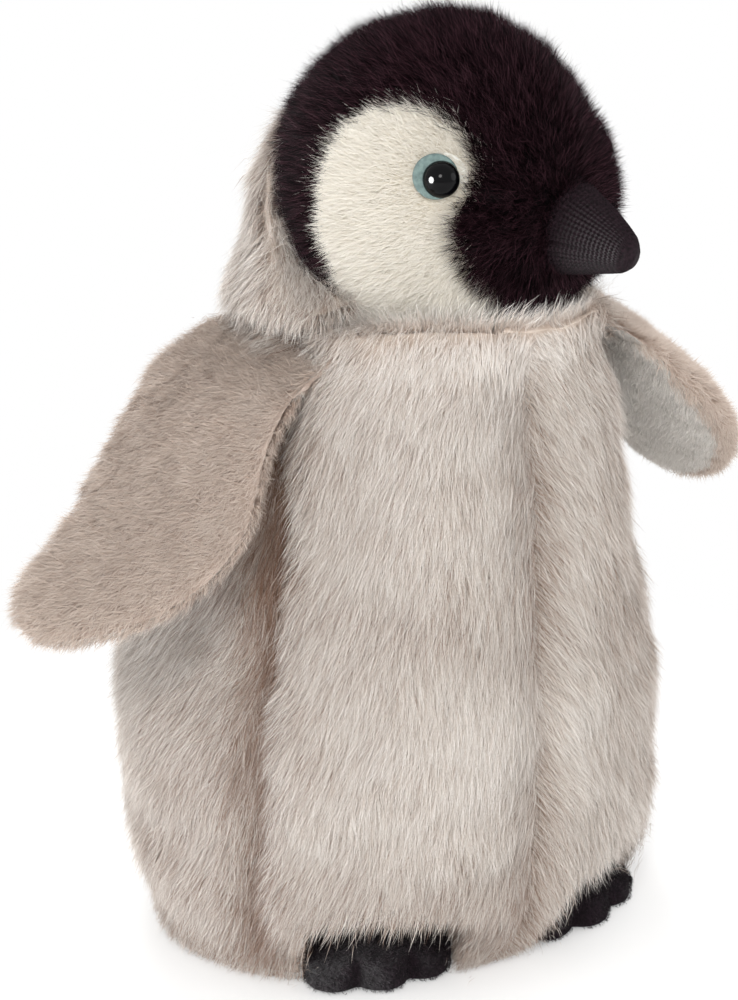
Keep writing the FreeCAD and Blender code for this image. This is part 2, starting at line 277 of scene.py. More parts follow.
def speckled_material(name, low, high, scale, roughness=0.9, bump=0.0, specular=0.2,
                      detail=4.0, high_at=0.7):
    """Colour that wanders between low and high, with an optional fine nap in relief."""
    material, tree, shader = new_material(name)
    place = tree.nodes.new("ShaderNodeTexCoord")
    noise = tree.nodes.new("ShaderNodeTexNoise")
    noise.inputs["Scale"].default_value = scale
    noise.inputs["Detail"].default_value = detail
    tree.links.new(place.outputs["Object"], noise.inputs["Vector"])
    colour = ramp(tree, [(0.3, low), (high_at, high)], noise.outputs["Fac"])
    tree.links.new(colour, shader.inputs["Base Color"])
    shader.inputs["Roughness"].default_value = roughness
    shader.inputs["Specular IOR Level"].default_value = specular
    if bump:
        fine = tree.nodes.new("ShaderNodeTexNoise")
        fine.inputs["Scale"].default_value = 2500.0
        tree.links.new(place.outputs["Object"], fine.inputs["Vector"])
        node = tree.nodes.new("ShaderNodeBump")
        node.inputs["Strength"].default_value = bump
        node.inputs["Distance"].default_value = 0.3 * MM
        tree.links.new(fine.outputs["Fac"], node.inputs["Height"])
        tree.links.new(node.outputs["Normal"], shader.inputs["Normal"])
    return material


# The last colour of each pile is the painted shade at its roots.
body_pile = pile_material("body_pile", srgb(130, 100, 82), srgb(214, 208, 201),
                          srgb(245, 242, 238), srgb(190, 166, 150))
wing_pile = pile_material("wing_pile", srgb(176, 157, 145), srgb(204, 190, 179),
                          srgb(222, 211, 202), srgb(206, 188, 176))
wing_inner_pile = pile_material("wing_inner_pile", srgb(206, 203, 198),
                                srgb(226, 222, 217), srgb(240, 238, 234),
                                srgb(218, 216, 211))
face_pile = pile_material("face_pile", srgb(216, 207, 192), srgb(235, 231, 222),
                          srgb(249, 246, 240), srgb(226, 218, 203))
# Its light end, which the crown's large fleck spreads over single strands, is painted
# glints on the hairs together with their own reddish-brown tone.
dark_pile = pile_material("dark_pile", srgb(3, 1, 2), srgb(6, 2, 4),
                          srgb(80, 53, 61), srgb(130, 100, 110), 0.5, 0.0, 0.02)
foot_nap = pile_material("foot_nap", srgb(15, 9, 12), srgb(30, 20, 27),
                         srgb(64, 50, 59), srgb(150, 150, 155), 0.8, 0.05, 0.15)
body_cloth = speckled_material("body_cloth", srgb(184, 168, 155), srgb(204, 190, 178),
                               300)
# Darkened so that bare spots between the strands show as painted shade.
wing_shaded_cloth = speckled_material("wing_shaded_cloth", srgb(172, 155, 144), srgb(190, 174, 163),
                               300)
inner_cloth = speckled_material("inner_cloth", srgb(200, 197, 192), srgb(212, 209, 204),
                                300)
face_cloth = speckled_material("face_cloth", srgb(208, 199, 182), srgb(222, 214, 198),
                               300)
dark_cloth = speckled_material("dark_cloth", srgb(8, 5, 7), srgb(14, 9, 12), 300)
felt_cloth = speckled_material("felt_cloth", srgb(82, 100, 98), srgb(110, 130, 127), 900,
                               roughness=0.95, bump=0.5)
foot_cloth = speckled_material("foot_cloth", srgb(14, 10, 13), srgb(27, 20, 25), 1200,
                               bump=0.5)
beak_knit = speckled_material("beak_knit", srgb(14, 8, 11), srgb(38, 26, 32), 1500,
                              roughness=0.7, specular=0.08, detail=2.0, high_at=0.75)
eye_gloss = speckled_material("eye_gloss", srgb(3, 3, 4), srgb(7, 6, 8), 200,
                              roughness=0.08, specular=0.12, detail=2.0)
washer_plastic = speckled_material("washer_plastic", srgb(214, 214, 208),
                                   srgb(222, 222, 216), 200, roughness=0.4)


# ---- pile ----------------------------------------------------------------------------
def surface(obj):
    """Triangles of a mesh ready for scattering: corners, corner normals and areas."""
    mesh = obj.data
    mesh.calc_loop_triangles()
    tri = np.empty(len(mesh.loop_triangles) * 3, int)
    mesh.loop_triangles.foreach_get("vertices", tri)
    tri = tri.reshape(-1, 3)
    co, no = positions(obj), normals(obj)
    a, b, c = co[tri[:, 0]], co[tri[:, 1]], co[tri[:, 2]]
    area = np.linalg.norm(np.cross(b - a, c - a), axis=1) / 2
    return co[tri], no[tri], area


def scattered(skin, count, rng, keep):
    """Random places on a skin with their normals, those that keep() wants."""
    corners, corner_normals, area = skin
    chosen = rng.choice(len(area), size=count, p=area / area.sum())
    r1, r2 = np.sqrt(rng.random(count)), rng.random(count)
    w = np.stack([1 - r1, r1 * (1 - r2), r1 * r2], 1)[:, :, None]
    p = (corners[chosen] * w).sum(1)
    n = unit((corner_normals[chosen] * w).sum(1))
    if keep is not None:
        inside = keep(p, n)
        p, n = p[inside], n[inside]
    return p, n


def pile(name, skin, body, material, density, length, lift, comb, seed,
         keep=None, tone=None, wild=0.12, tuft=12, tuft_spread=1.5, width=0.10,
         gather=0.2, curl=0.14, fleck=0.14):
    """Strands in small tufts on a skin. density per mm2, length in mm (one value or a
    function of place), lift is how far they stand up: 0 lies flat, 1 is upright. A tuft
    has tuft strands that root tuft_spread mm apart. gather draws their tips together,
    wild turns whole tufts, curl bends single strands, fleck is how much tones differ."""
    rng = np.random.default_rng(seed)
    area = skin[2].sum() / MM ** 2
    tufts = max(1, int(area * density * SHARE / tuft))
    centre, normal = scattered(skin, tufts, rng, keep)
    tufts = len(centre)
    along = comb(centre, normal)
    along = unit(along - normal * (along * normal).sum(1, keepdims=True))
    side = np.cross(normal, along)
    swing = (smooth_noise(centre, 26 * MM, seed + 1) * 0.16
             + smooth_noise(centre, 8 * MM, seed + 2) * 0.14
             + rng.normal(size=tufts) * wild)
    along_t = along * np.cos(swing)[:, None] + side * np.sin(swing)[:, None]
    rise = lift * (1 + 0.25 * smooth_noise(centre, 12 * MM, seed + 3)
                   + 0.15 * rng.normal(size=tufts))
    rise = np.clip(rise, 0.12, 1.4)
    reach = length(centre) if callable(length) else np.full(tufts, float(length))
    reach = reach * (1 + 0.10 * smooth_noise(centre, 9 * MM, seed + 4)
                     + 0.10 * rng.normal(size=tufts))
    tuft_tone = (0.52 + 0.05 * smooth_noise(centre, 6 * MM, seed + 5)
                 + 0.03 * rng.normal(size=tufts))
    if tone is not None:
        tuft_tone = tuft_tone + tone(centre, normal)

    i = np.repeat(np.arange(tufts), tuft)
    count = len(i)
    off = rng.normal(size=(count, 2)) * tuft_spread * MM
    spread = along[i] * off[:, :1] + side[i] * off[:, 1:]
    p0 = centre[i] + spread
    size = reach[i] * MM * (1 - 0.35 * rng.random(count) ** 2)
    fly = rng.normal(size=(count, 3)) * curl
    n = normal[i]
    root_way = unit(n * (rise[i] + 0.9)[:, None] + along_t[i] * 0.8 + fly * 0.7)
    tip_way = unit(n * (rise[i] * 0.75)[:, None] + along_t[i] + fly)
    p1 = p0 + root_way * (size * 0.36)[:, None] - spread * gather * 0.4
    p2 = p1 + tip_way * (size * 0.64)[:, None] - spread * gather
    turn = rng.uniform(-0.5, 0.5, count)
    across = unit(np.cross(tip_way, n))
    across = unit(across * np.cos(turn)[:, None] + n * np.sin(turn)[:, None])
    w = across * (width * MM * (0.75 + 0.5 * rng.random(count)))[:, None]
    verts = np.stack([p0, p1 - w, p1 + w, p2], 1)
    verts[:, :, 2] = np.maximum(verts[:, :, 2], 0.35 * MM)
    u = np.clip(tuft_tone[i] + rng.normal(size=count) * fleck, 0.02, 0.98)
    for part, first in enumerate(range(0, count, MOST_STRANDS)):
        some = slice(first, first + MOST_STRANDS)
        strands = strand_object(f"{name}_{part + 1}", verts[some], u[some], material)
        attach(strands, body)


def strand_object(name, verts, u, material):
    """Each strand is two thin triangles that meet where it bends."""
    count = len(verts)
    corner = np.array([0, 2, 1, 1, 2, 3])
    loops = (np.arange(count)[:, None] * 4 + corner).ravel()
    mesh = bpy.data.meshes.new(name)
    mesh.vertices.add(count * 4)
    mesh.vertices.foreach_set("co", verts.reshape(-1).astype(np.float32))
    mesh.loops.add(count * 6)
    mesh.loops.foreach_set("vertex_index", loops.astype(np.int32))
    mesh.polygons.add(count * 2)
    mesh.polygons.foreach_set("loop_start", np.arange(0, count * 6, 3, dtype=np.int32))
    mesh.update(calc_edges=True)
    uv = mesh.uv_layers.new(name="OFBake")
    along = np.array([0.01, 0.4, 0.4, 0.99])
    across = np.array([0.0, -0.001, 0.001, 0.0])
    coords = np.empty((count, 6, 2), np.float32)
    coords[:, :, 0] = u[:, None] + across[corner][None, :]
    coords[:, :, 1] = along[corner][None, :]
    uv.data.foreach_set("uv", coords.ravel())
    mesh.shade_smooth()
    mesh.materials.append(material)
    obj = bpy.data.objects.new(name, mesh)
    bpy.context.scene.collection.objects.link(obj)
    return obj


# ---- torso ---------------------------------------------------------------------------
TORSO_NODES = ["front_panel_left", "front_panel_right", "back_panel_left",
               "back_panel_right", "base_panel", "torso_filling", "pellet_bag", "pellets"]
torso = remeshed("torso_skin", TORSO_NODES, 1.7)
relax(torso, 12)
crease_z = HEAD[2] - 0.028 * NECK_AXIS[2]


def side_seam(p):
    """How far round from the front the side seam runs, in degrees, at each height."""
    return 63.0 - 7.5 * step(p[:, 2], 0.0, 0.09)


def torso_seams(p):
    """Depth of the sewn valleys, in mm, at each place on the torso."""
    azimuth = np.degrees(np.arctan2(p[:, 0], -p[:, 1]))
    radius = np.hypot(p[:, 0], p[:, 1])
    fade = step(p[:, 2], 0.004, 0.02)
    front = bell(p[:, 0], 3.2 * MM) * (p[:, 1] < 0) * fade
    front = front * (1 - step(p[:, 2], crease_z - 0.016, crease_z - 0.004))
    aside = bell(np.radians(np.abs(azimuth) - side_seam(p)) * radius, 4.6 * MM)
    back = bell(p[:, 0], 4.5 * MM) * (p[:, 1] > 0) * fade
    deeper = 1 + 0.8 * bell(p[:, 2] - 0.125, 0.04)
    return 1.7 * front + 3.6 * aside * fade * deeper + 2.0 * back


co = positions(torso)
x, y, z = co.T.copy()
wall = step(z, 0.0005, 0.010)
# The CAD solid is drawn in a little all round its foot, and below the face.
inset = (1.4 + 1.4 * step(-x, 0.0, 0.04)) * (1 - step(z, 0.004, 0.050))
co[:, :2] -= unit(co[:, :2] * [1, 1.2]) * (inset * MM)[:, None]
co[:, 2] -= 2.0 * MM * step(z, 0.145, 0.163) * step(-y, -0.005, 0.02)
set_positions(torso, co)
soft = (1.3 * smooth_noise(co, 60 * MM, 3) + 0.6 * smooth_noise(co, 25 * MM, 4)) * wall
off_head = np.linalg.norm(co - HEAD, axis=1)
by_head = 0.55 + 0.45 * step(off_head, 0.0425, 0.052)
# How far the cloth lies inside the pile's tips; the stuffing has settled unevenly, so
# the toy's left and right sides have waists and bulges of their own.
x, y, z = co.T.copy()
on_left, on_right = step(x, 0.02, 0.05), step(-x, 0.02, 0.05)
slack = (3.6 + 24.0 * x * step(z, 0.03, 0.09)
         + 5.0 * step(z, 0.070, 0.120) * on_left
         - 4.0 * step(z, 0.125, 0.150) * step(-x, 0.0, 0.03)
         + (0.6 * step(z, 0.02, 0.05) + 1.8 * bell(z - 0.043, 0.020)) * on_left
         + (1.5 * bell(z - 0.040, 0.014) - 2.0 * bell(z - 0.068, 0.014)) * on_right)
push(torso, (-slack * wall - torso_seams(co) + soft) * by_head)
relax(torso, 6)
torso.data.materials.append(body_cloth)
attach(torso, "torso")
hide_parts(*TORSO_NODES)
torso_surface = surface(torso)


def seam_angle(p):
    """How far round from the middle of the front, to either side, in degrees."""
    return np.abs(np.degrees(np.arctan2(p[:, 0], -p[:, 1])))


def torso_comb(p, n):
    """Down and a little away from the seams, and outward over the rim of the neck."""
    down = np.tile([0.0, 0.0, -1.0], (len(p), 1))
    off_centre = np.abs(p[:, 0]) / MM
    away = np.sign(p[:, 0]) * (0.14 + 0.55 * bell(off_centre, 9) * (p[:, 1] < 0)
                               + 0.22 * step(seam_angle(p), 15, 60))
    tangent = unit(np.stack([-p[:, 1], p[:, 0], np.zeros(len(p))], 1))
    wall_way = down + tangent * away[:, None] + n * 0.05
    outward = unit((p - HEAD) * [1, 1, 0])
    off_head = np.linalg.norm(p - HEAD, axis=1)
    rim = (step(n[:, 2], -0.1, 0.35) * (1 - step(off_head, 0.054, 0.064)))[:, None]
    return wall_way * (1 - rim) + outward * rim


def torso_tone_light_and_shade(p, n):
    """Random clouds of tone, with painted shade in the seams, at the floor, low on the
    front, on the sides and on the toy's left belly, and painted light on its right belly
    and round the neck.
    """
    # Painted shade: darker where the seams sink in, and at the floor.
    valley = torso_seams(p) / 3.4
    shade = 0.12 * (1 - step(p[:, 2], 0.0, 0.02))
    clouds = 0.10 * smooth_noise(p * [0.7, 0.7, 1.5], 50 * MM, 8)
    aside = step(seam_angle(p) - side_seam(p), -2, 6)
    belly = (1 - aside) * step(p[:, 2], 0.04, 0.07)
    # Painted light and shade: the toy's right belly lighter; its left belly, its sides and
    # the low front darker.
    panel_light_and_shade = (0.07 * belly * step(-p[:, 0], -0.01, 0.02)
              - 0.15 * belly * step(p[:, 0], 0.01, 0.03) - 0.08 * aside
              - 0.10 * (1 - aside) * (1 - step(p[:, 2], 0.03, 0.06)))
    # Painted light round the neck, where the head shades the torso.
    neck_light = 0.28 * bell(np.linalg.norm(p - HEAD, axis=1) - 0.043, 0.006)
    return -0.42 * np.clip(valley, 0, 1.3) - shade + clouds + panel_light_and_shade + neck_light


def over_foot(p):
    """1 over the middle of either foot, 0 away from both."""
    return bell(np.abs(p[:, 0]) / MM - 27, 17) * step(-p[:, 1], 0.015, 0.035)


def torso_length(p):
    """Shorter close to the floor, and shortest over the feet."""
    low = 1 - step(p[:, 2], 0.004, 0.024)
    by_foot = over_foot(p) * (1 - step(p[:, 2], 0.016, 0.034))
    by_neck = bell(p[:, 2] - crease_z, 12 * MM)
    return 10.0 * (1 - 0.42 * low) * (1 - 0.62 * by_foot) * (1 - 0.2 * by_neck)


def on_panel(front, sign):
    """Says which places are on one panel and not under the base, the head or a foot."""
    def keep(p, n):
        wanted = (seam_angle(p) < side_seam(p)) == front
        clear_of_base = (p[:, 2] > 0.0025) & (n[:, 2] > -0.8)
        clear_of_head = np.linalg.norm(p - HEAD, axis=1) > 0.0398
        clear_of_foot = (over_foot(p) < 0.45) | (p[:, 2] > 0.013)
        return (wanted & (p[:, 0] * sign >= 0) & clear_of_base & clear_of_head
                & clear_of_foot)
    return keep


for side, sign in (("left", 1), ("right", -1)):
    for place, front in (("front", True), ("back", False)):
        pile(f"{place}_panel_{side}_pile", torso_surface, "torso", body_pile,
             8.4 if front else 6.6, torso_length, 0.27, torso_comb,
             seed=10 + sign + 5 * front, keep=on_panel(front, sign), tone=torso_tone_light_and_shade,
             wild=0.09, tuft_spread=2.2, width=0.055, gather=0.06, fleck=0.17)


# ---- head ----------------------------------------------------------------------------
HEAD_NODES = ["crown_panel", "muzzle_panel", "cheek_panel_left", "cheek_panel_right",
              "head_filling"]
low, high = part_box("head_filling")
head_radius = (high[0] - low[0]) / 2 + 5.0 * MM     # to the tips of the pile


def ball(name, centre, radius, rounds):
    work = bmesh.new()
    bmesh.ops.create_icosphere(work, subdivisions=rounds, radius=radius)
    mesh = bpy.data.meshes.new(name)
    work.to_mesh(mesh)
    work.free()
    obj = bpy.data.objects.new(name, mesh)
    bpy.context.scene.collection.objects.link(obj)
    set_positions(obj, positions(obj) + centre)
    mesh.shade_smooth()
    return obj


# Outline of the pale cheek in degrees round from the beak and above level.
CHEEK = [(41, 15), (43, 24), (48, 31), (57, 35), (68, 37), (80, 36), (91, 30), (97, 18),
         (99, 5), (99, -8), (97, -22), (95, -36), (92, -50), (60, -66), (0, -75),
         (-10, -52), (12, -41), (29, -30), (42, -21), (47, -12), (49, -3), (47, 4),
         (43, 10)]


def in_cheek(azimuth, rise):
    """Whether each place, taken on the right or left side alike, is in the pale patch."""
    a, e = np.abs(azimuth), rise
    inside = np.zeros(len(a), bool)
    for (x0, y0), (x1, y1) in zip(CHEEK, CHEEK[1:] + CHEEK[:1]):
        crosses = (y0 > e) != (y1 > e)
        at = x0 + (e - y0) / (y1 - y0 if y1 != y0 else 1e-9) * (x1 - x0)
        inside ^= crosses & (a < at)
    return inside


def cheek_here(p, blur=0.0, seed=0):
    """Whether places are in the pale patch; blur, in degrees, mixes the edge."""
    azimuth, rise = head_angles(p)
    if blur:
        rng = np.random.default_rng(seed)
        azimuth = azimuth + rng.normal(size=len(p)) * blur
        rise = rise + rng.normal(size=len(p)) * blur
    return in_cheek(azimuth, rise)


head = ball("head_skin", HEAD, head_radius - 4.8 * MM, 6)
co = positions(head)
azimuth, rise = head_angles(co)
cheek_bulge = bell(np.abs(azimuth) - 68, 30) * bell(rise + 8, 34)
brow = bell(rise - 46, 26) * bell(azimuth, 50)
snout = bell(azimuth, 34) * bell(rise + 12, 24)
temple = bell(np.abs(azimuth) - 38, 40) * bell(rise - 38, 28)
push(head, 0.7 * cheek_bulge + 0.3 * brow + 1.3 * snout - 2.8 * temple)
centres = np.array([f.center for f in head.data.polygons])
two_materials(head, dark_cloth, face_cloth, cheek_here(centres))
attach(head, "head")
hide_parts(*HEAD_NODES)
head_surface = surface(head)
beak_way = head_direction(0, -8.5)


def head_comb(p, n):
    """Swept back from the beak, and down at the sides."""
    back = unit(p - (HEAD + beak_way * head_radius * 1.15))
    return back + np.array([0, 0, -0.25])


def cheek_comb(p, n):
    back = unit(p - (HEAD + beak_way * head_radius * 1.2))
    return back + np.array([0, 0, -0.15])


eye_places = []
for side in ("left", "right"):
    low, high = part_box("eye_felt_" + side)
    eye_places.append(np.array((low + high) / 2))


def near_eye(p):
    return np.min([np.linalg.norm(p - e, axis=1) for e in eye_places], axis=0)


beak_root = HEAD + beak_way * head_radius


def off_beak(p):
    """Whether places are clear of the beak's root."""
    rel = p - HEAD
    along = rel @ beak_way
    across = np.linalg.norm(rel - along[:, None] * beak_way, axis=1)
    return (across > 8.0 * MM) | (along < 0)


def face_length(p):
    """Shorter pile close round the eyes and the beak."""
    rel = p - beak_root
    return (7.2 * (0.45 + 0.55 * step(near_eye(p), 5 * MM, 15 * MM))
            * (0.6 + 0.4 * step(np.linalg.norm(rel, axis=1), 11 * MM, 22 * MM)))


def cheek_length(p):
    """Longer under the chin, where it meets the torso."""
    return (0.72 + 0.5 * step(-head_angles(p)[1], 28, 50)) * face_length(p)


def above_neck(p):
    return (p - HEAD) @ NECK_AXIS > -34 * MM


# The fleck of 0.28 gives single strands painted glints.
pile("crown_pile", head_surface, "head", dark_pile, 14.0, face_length, 1.0,
     head_comb, 31, wild=0.3, tuft=8, tuft_spread=0.9, width=0.06, gather=0.1, curl=0.3,
     fleck=0.28,
     keep=lambda p, n: ~cheek_here(p, 0.7, 5) & off_beak(p) & above_neck(p))
# The cheek pile's tone is raised under the chin: painted light against the shade there.
pile("cheek_pile", head_surface, "head", face_pile, 19.0, cheek_length, 0.7,
     cheek_comb, 32, wild=0.3, tuft=8, tuft_spread=1.4, width=0.06, gather=0.0, curl=0.28,
     fleck=0.1, tone=lambda p, n: 0.3 * step(-head_angles(p)[1], 22, 42),
     keep=lambda p, n: cheek_here(p, 0.7, 6) & (near_eye(p) > 5.4 * MM) & above_neck(p))


# ---- nape hood -----------------------------------------------------------------------
NECK_NODES = ["nape_panel_left", "nape_panel_right", "neck_filling"]
hood = remeshed("nape_skin", NECK_NODES, 1.4)
relax(hood, 10)
# Drawn in towards the head where it is close to it, so that the pile has room.
co = positions(hood)
reach = np.linalg.norm(co - HEAD, axis=1)
close = 37.4 * MM + (reach - 40.4 * MM) * 0.42
reach = (reach + (close - reach) * (1 - step(reach, 0.0475, 0.056)))[:, None]
set_positions(hood, HEAD + unit(co - HEAD) * reach)
# And narrowed where it would stand out over the shoulders, least of all behind.
co = positions(hood)
flat = np.linalg.norm((co - HEAD)[:, :2], axis=1)
behind = unit((co - HEAD)[:, :2]) @ -unit(head_direction(0, 0)[:2])
flare = 1.5 + 5.5 * step(behind, 0.0, 0.6)
limit = (42.0 + flare * step(-co[:, 2], -0.186, -0.166)) * MM
narrowed = np.where(flat > limit, limit + (flat - limit) * 0.25, flat)
co[:, :2] = HEAD[:2] + (co - HEAD)[:, :2] * (narrowed / flat)[:, None]
set_positions(hood, co)
relax(hood, 4)
hood.data.materials.append(body_cloth)
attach(hood, "neck")
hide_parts(*NECK_NODES)


def hood_comb(p, n):
    """Down the nape and a little back from the face."""
    rel = p - HEAD
    out = unit(rel - (rel @ NECK_AXIS)[:, None] * NECK_AXIS)
    return -NECK_AXIS + out * 0.1 - beak_way * 0.3


pile("nape_pile", surface(hood), "neck", body_pile, 8.5, 8.4, 0.42,
     hood_comb, 41, wild=0.15, tuft_spread=2.0, width=0.062, gather=0.06, fleck=0.2,
     keep=lambda p, n: (n * unit(p - HEAD)).sum(1) > -0.7)


# ---- wings ---------------------------------------------------------------------------
def shape_wing(wing, side, sign, root, tip_way, out_way, edge_way):
    """Bends a wing as in the photo, each side its own way. along is in mm from the
    shoulder to the tip, and chord is positive on the front half."""
    co = positions(wing)
    rel = co - root
    along = rel @ tip_way / MM
    chord = rel @ edge_way
    thick = rel @ out_way
    # The root spreads into the shoulder, and the whole wing is plumper near it.
    spread = 1 - step(along, 0, 26)
    front_edge = step(chord, 0, 16 * MM)
    co = co + edge_way * (chord * spread * (0.36 - 0.16 * front_edge))[:, None]
    shoulder = 1.6 if side == "right" else 4.6
    co = co - edge_way * (shoulder * MM * bell(along - 16, 18) * (1 - front_edge))[:, None]
    if side == "right":
        sweep = 4.5 * step(along, 8, 40) - 4.0 * step(along, 48, 90)
        co = co - tip_way * (0.2 * MM * step(along, 50, 90))[:, None]
    else:
        sweep = (3.0 * bell(along - 26, 22) * front_edge
                 - 5.6 * bell(along - 54, 18) * (1 - front_edge)
                 - 3.4 * step(along, 42, 78))
        co = co - tip_way * (2.0 * MM * step(along, 35, 80))[:, None]
    co = co + edge_way * (sweep * MM)[:, None]
    co = co + out_way * (thick * 0.25 * (1 - step(along, 10, 50)))[:, None]
    # The shoulder sinks into the torso.
    toward_body = np.array([-sign, 0.10, 0.22])
    sink = 6.5 * (1 - step(along, -2, 14)) + 3.5 * (1 - step(along, 5, 32)) * front_edge
    co = co + toward_body * (sink * MM)[:, None]
    set_positions(wing, co)
    relax(wing, 4)
    push(wing, -1.5 if side == "right" else -0.6)


def make_wing(side, sign):
    nodes = [f"wing_{part}_{side}" for part in ("outer", "inner", "filling")]
    body = "wing_" + side
    wing = remeshed(f"wing_{side}_skin", nodes, 1.0)
    relax(wing, 8)
    root = np.array(JOINTS[body]["pos_m"], float)
    tip_way = unit(positions(wing).mean(0) - root)
    outer = node_arrays([nodes[0]])[0].mean(0)
    inner = node_arrays([nodes[1]])[0].mean(0)
    out_way = outer - inner
    out_way = unit(out_way - tip_way * (out_way @ tip_way))
    edge_way = np.cross(tip_way, out_way)
    if edge_way[1] > 0:
        edge_way = -edge_way
    shape_wing(wing, side, sign, root, tip_way, out_way, edge_way)
    facing = np.array([f.normal for f in wing.data.polygons]) @ out_way
    two_materials(wing, wing_shaded_cloth, inner_cloth, facing < -0.75)
    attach(wing, body)
    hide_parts(*nodes)
    skin = surface(wing)

    def comb(p, n):
        return np.tile(tip_way - edge_way * 0.25, (len(p), 1))

    def rim_tone(p, n):
        patches = 0.03 * smooth_noise(p, 30 * MM, 9) + 0.05 * smooth_noise(p, 11 * MM, 10)
        return 0.05 * bell(n @ out_way, 0.35) + patches

    def on_outer(p, n):
        return n @ out_way > -0.8

    def on_inner(p, n):
        return ~on_outer(p, n) & ((p - root) @ tip_way > 4 * MM)

    pile(f"wing_outer_{side}_pile", skin, body, wing_pile, 15.0, 4.2,
         0.7, comb, 51 + sign, wild=0.3, tuft=8, tuft_spread=0.9, width=0.06, gather=0.0,
         curl=0.35, tone=rim_tone, keep=on_outer)
    pile(f"wing_inner_{side}_pile", skin, body, wing_inner_pile,
         10.0, 2.6, 0.5, comb, 55 + sign, wild=0.3, tuft=8, tuft_spread=0.7, width=0.06,
         gather=0.0, curl=0.3, keep=on_inner)


make_wing("left", 1)
make_wing("right", -1)


# ---- feet ----------------------------------------------------------------------------
def make_foot(side, sign):
    nodes = [f"foot_{part}_{side}" for part in ("top", "sole", "filling")]
    foot = remeshed(f"foot_{side}_skin", nodes, 0.7)
    relax(foot, 10)
    push(foot, -0.3)
    co = positions(foot)
    middle = (co.min(0) + co.max(0)) / 2
    if side == "left":      # it shows a little more past the hem than the other
        co[:, :2] = middle[:2] + (co[:, :2] - middle[:2]) * 1.08 + [3.0 * MM, 1.0 * MM]
    co[:, 2] *= 1.14        # and both a little higher under it
    set_positions(foot, co)
    foot.data.materials.append(foot_cloth)
    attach(foot, "foot_" + side)
    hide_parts(*nodes)

    def comb(p, n):
        return np.tile([0.0, -1.0, -0.3], (len(p), 1))

    pile(f"foot_{side}_nap", surface(foot), "foot_" + side, foot_nap, 13.0,
         1.3, 0.8, comb, 61 + sign, wild=0.9, tuft=6, tuft_spread=0.5, width=0.07,
         curl=0.3, keep=lambda p, n: n[:, 2] > -0.5)


make_foot("left", 1)
make_foot("right", -1)


# ---- beak ----------------------------------------------------------------------------
def make_beak():
    nodes = ["beak_upper", "beak_lower", "beak_filling"]
    rel = node_arrays(nodes)[0] - HEAD
    along = rel @ beak_way
    tip, root = along.max(), along.min()
    wide = np.linalg.norm(rel - along[:, None] * beak_way, axis=1).max()
    side_way = unit(np.cross(beak_way, [0, 0, 1.0]))
    up_way = np.cross(side_way, beak_way)
    rows, around = 150, 384     # mesh rows along the beak and columns round it
    ribs, stitches = 48, 20     # of the knitted cloth, round the beak and along it
    t = np.linspace(0, 1, rows)
    profile = np.interp(t, [0, 0.15, 0.35, 0.55, 0.75, 0.88, 0.96, 1.0],
                        [0.86, 0.76, 0.66, 0.55, 0.43, 0.34, 0.22, 0.0])
    angle = np.linspace(0, 2 * math.pi, around, endpoint=False)
    lower = np.where(np.sin(angle) < 0, 0.90, 1.0)
    verts = []
    for k in range(rows):
        rib = 1 - 0.045 * (0.5 + 0.5 * np.cos(angle * ribs)) * min(1, (1 - t[k]) * 6)
        loop = t[k] * 2 * math.pi * stitches + np.cos(angle * ribs) * 1.5
        stitch = 1 + 0.022 * np.cos(loop)
        groove = 1 - 0.05 * bell(np.sin(angle), 0.10) * (1 - t[k] * 0.4)
        r = wide * profile[k] * rib * stitch * groove * (1 if t[k] < 1 else 0)
        hook = -0.9 * MM * t[k] ** 3
        centre = HEAD + beak_way * (root + (tip - root) * t[k]) + up_way * hook
        verts.append(centre + side_way * (np.cos(angle) * r)[:, None]
                     + up_way * (np.sin(angle) * r * lower)[:, None])
    verts = np.concatenate(verts)
    k, j = np.meshgrid(np.arange(rows - 1), np.arange(around), indexing="ij")
    a = k * around + j
    b = k * around + (j + 1) % around
    faces = np.stack([a, b, b + around, a + around], -1).reshape(-1, 4).tolist()
    faces.append(list(range(around))[::-1])
    beak = new_object("beak_skin", verts, faces)
    beak.data.materials.append(beak_knit)
    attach(beak, "head")
    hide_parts(*nodes)


make_beak()


# ---- eyes ----------------------------------------------------------------------------
# The felt disc under the eye in section: its rings from the inside up, over the rim and
# back below, each a share of the radius and a height in mm.
FELT_RINGS = [(0.30, 0.50), (0.55, 0.58), (0.72, 0.56), (0.84, 0.42), (0.90, 0.0),
              (0.84, -0.42), (0.55, -0.5), (0.30, -0.5)]


def make_felt(side):
    felt_node = "eye_felt_" + side
    points = node_arrays([felt_node])[0]
    centre = points.mean(0)
    out = unit(centre - HEAD)
    right = unit(np.cross(out, [0, 0, 1.0]))
    top = np.cross(right, out)
    rel = points - centre
    radius = np.linalg.norm(rel - (rel @ out)[:, None] * out, axis=1).max()
    around = 64
    turn = np.linspace(0, 2 * math.pi, around, endpoint=False)
    circle = right * np.cos(turn)[:, None] + top * np.sin(turn)[:, None]
    verts = np.concatenate([centre + out * (height * MM) + circle * radius * share
                            for share, height in FELT_RINGS])
    faces = []
    for ring in range(len(FELT_RINGS)):
        inner, outer = ring * around, (ring + 1) % len(FELT_RINGS) * around
        for k in range(around):
            after = (k + 1) % around
            faces.append((inner + k, inner + after, outer + after, outer + k))
    # The photo shows more of the felt behind the eye and above it.
    back_way = unit(np.cross(top, out)) * (1 if side == "left" else -1)
    verts = verts + back_way * 1.3 * MM + top * 0.6 * MM
    disc = new_object("eye_felt_disc_" + side, verts, faces)
    disc.data.materials.append(felt_cloth)
    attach(disc, "head")
    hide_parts(felt_node)


for side in ("left", "right"):
    for node, material in (("eye_" + side, eye_gloss),
                           ("eye_washer_" + side, washer_plastic)):
        shown = frame["nodes"][node]
        shown.data.materials.clear()
        shown.data.materials.append(material)
        shown.data.shade_smooth()
    make_felt(side)


